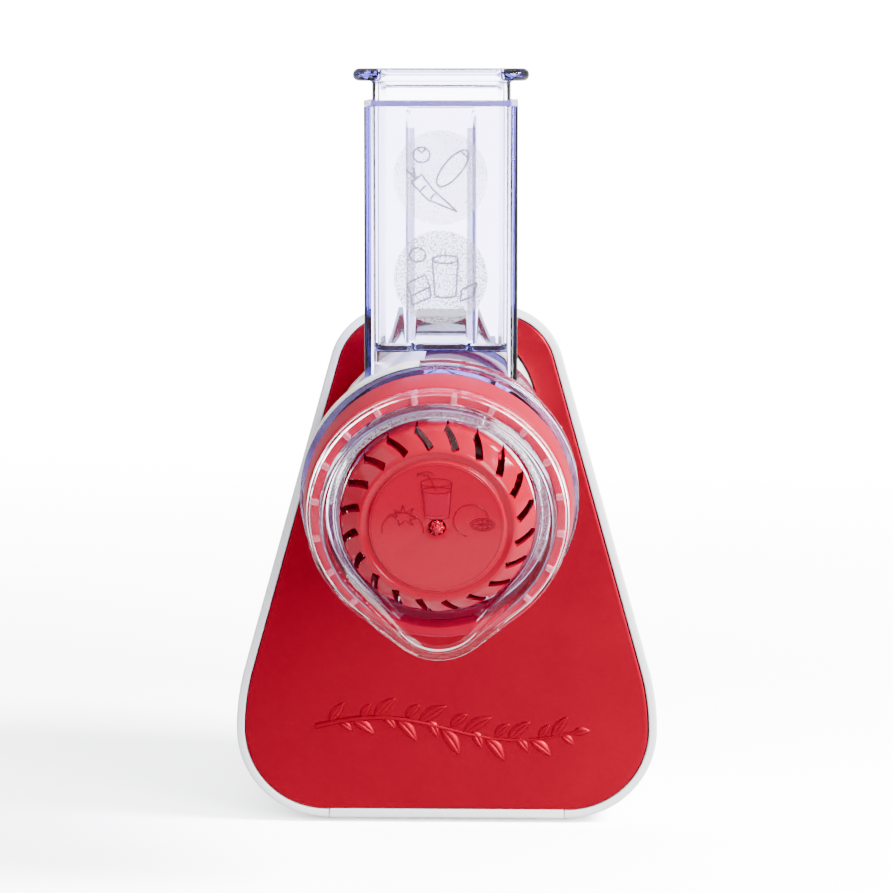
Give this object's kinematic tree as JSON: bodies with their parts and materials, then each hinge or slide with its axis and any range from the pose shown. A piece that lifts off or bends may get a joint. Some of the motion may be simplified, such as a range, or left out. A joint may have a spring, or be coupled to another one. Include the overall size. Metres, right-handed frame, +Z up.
{
  "type": "electric drum food processor with juice attachment",
  "caption": "Upright electric drum food processor: A-shaped motor housing, tilted clear barrel with feed chute and pusher, slotted rotating drum nose and clear juice collector.",
  "frame": {"origin": "centre of the bounding box in plan, on the plane the feet stand on", "axes": "+Z up, -Y towards the drum nose and the user, +X to the user's right"},
  "size_m": [0.1514, 0.2256, 0.2704],
  "materials": {
    "white_housing": "satin white moulding",
    "red_panel": "metallic red lacquer, satin",
    "inner_white": "plain moulded",
    "foot_rubber": "pale grey, soft",
    "black_rubber": "matte",
    "screw_steel": "zinc plated",
    "shaft_steel": "ground",
    "lamination": "stamped stack, dull",
    "winding": "lacquered copper",
    "bronze": "sintered",
    "nylon": "natural moulded",
    "black_plastic": "moulded",
    "red_plastic": "glossy red moulding",
    "clear_plastic": "clear moulded plastic"
  },
  "bodies": {
    "housing": {"main_shell": "white_housing", "front_panel": "red_panel", "front_bulkhead": "inner_white", "mount_collar": "white_housing", "rear_cover": "white_housing", "base_plate": "white_housing", "rubber_foot_front_left": "foot_rubber", "rubber_foot_front_right": "foot_rubber", "rubber_foot_rear_left": "foot_rubber", "rubber_foot_rear_right": "foot_rubber", "base_screw_front": "screw_steel", "base_screw_rear": "screw_steel", "rear_screw_lower_left": "screw_steel", "rear_screw_lower_right": "screw_steel", "rear_screw_upper_left": "screw_steel", "rear_screw_upper_right": "screw_steel", "cord_inlet_grommet": "black_rubber", "button_spring": "screw_steel", "switch_carrier": "inner_white", "micro_switch": "black_plastic", "gearbox_case": "nylon", "gearbox_cover": "nylon", "idler_axle": "shaft_steel", "output_bush_front": "bronze", "output_bush_rear": "bronze", "shaft_seal": "black_rubber", "stator_core": "lamination", "field_coil_upper": "winding", "field_coil_lower": "winding", "motor_bracket": "shaft_steel", "brush_holder_left": "bronze", "brush_holder_right": "bronze"},
    "armature": {"armature_core": "lamination", "motor_shaft": "shaft_steel", "commutator": "winding", "cooling_fan": "black_plastic", "motor_pinion": "shaft_steel"},
    "idler": {"idler_gear": "nylon"},
    "drum": {"output_gear": "nylon", "output_shaft": "shaft_steel", "drive_coupler": "nylon", "drum_body": "red_plastic", "drum_nose": "red_plastic", "nose_cap": "red_plastic"},
    "magazine": {"magazine_barrel": "clear_plastic", "feed_chute": "clear_plastic"},
    "pusher": {"pusher": "clear_plastic"},
    "collector": {"locking_ring": "red_plastic", "juice_collector": "clear_plastic"},
    "start_button": {"start_button": "red_plastic"},
    "release_latch": {"release_latch": "white_housing"}
  },
  "joints": [
    {"name": "drum_spin", "type": "hinge", "parent": "housing", "child": "drum", "pos_m": [0, 0.01019, 0.1484], "axis": [0, -0.9816, -0.1908], "continuous": true},
    {"name": "idler_spin", "type": "hinge", "parent": "housing", "child": "idler", "pos_m": [0, 0.0161, 0.11797], "axis": [0, -0.9816, -0.1908], "continuous": true},
    {"name": "armature_spin", "type": "hinge", "parent": "housing", "child": "armature", "pos_m": [0, 0.02091, 0.09323], "axis": [0, -0.9816, -0.1908], "continuous": true},
    {"name": "magazine_twist", "type": "hinge", "parent": "housing", "child": "magazine", "pos_m": [0, 0.01019, 0.1484], "axis": [0, -0.9816, -0.1908], "range_deg": [0, 30]},
    {"name": "pusher_slide", "type": "slide", "parent": "magazine", "child": "pusher", "axis": [0, 0, 1], "range_m": [0, 0.085]},
    {"name": "collector_twist", "type": "hinge", "parent": "magazine", "child": "collector", "pos_m": [0, 0.01019, 0.1484], "axis": [0, -0.9816, -0.1908], "range_deg": [0, 25]},
    {"name": "start_button_press", "type": "slide", "parent": "housing", "child": "start_button", "axis": [0, 0, -1], "range_m": [0, 0.0018], "stiffness_N_per_m": 500, "springref_m": -0.004, "deforming": ["button_spring"]},
    {"name": "release_latch_slide", "type": "slide", "parent": "housing", "child": "release_latch", "axis": [1, 0, 0], "range_m": [0, 0.0025], "stiffness_N_per_m": 400, "springref_m": -0.003}
  ],
  "couplings": [
    {"joint": "idler_spin", "follows": "drum_spin", "ratio": -3.4286},
    {"joint": "armature_spin", "follows": "drum_spin", "ratio": 10.286}
  ]
}
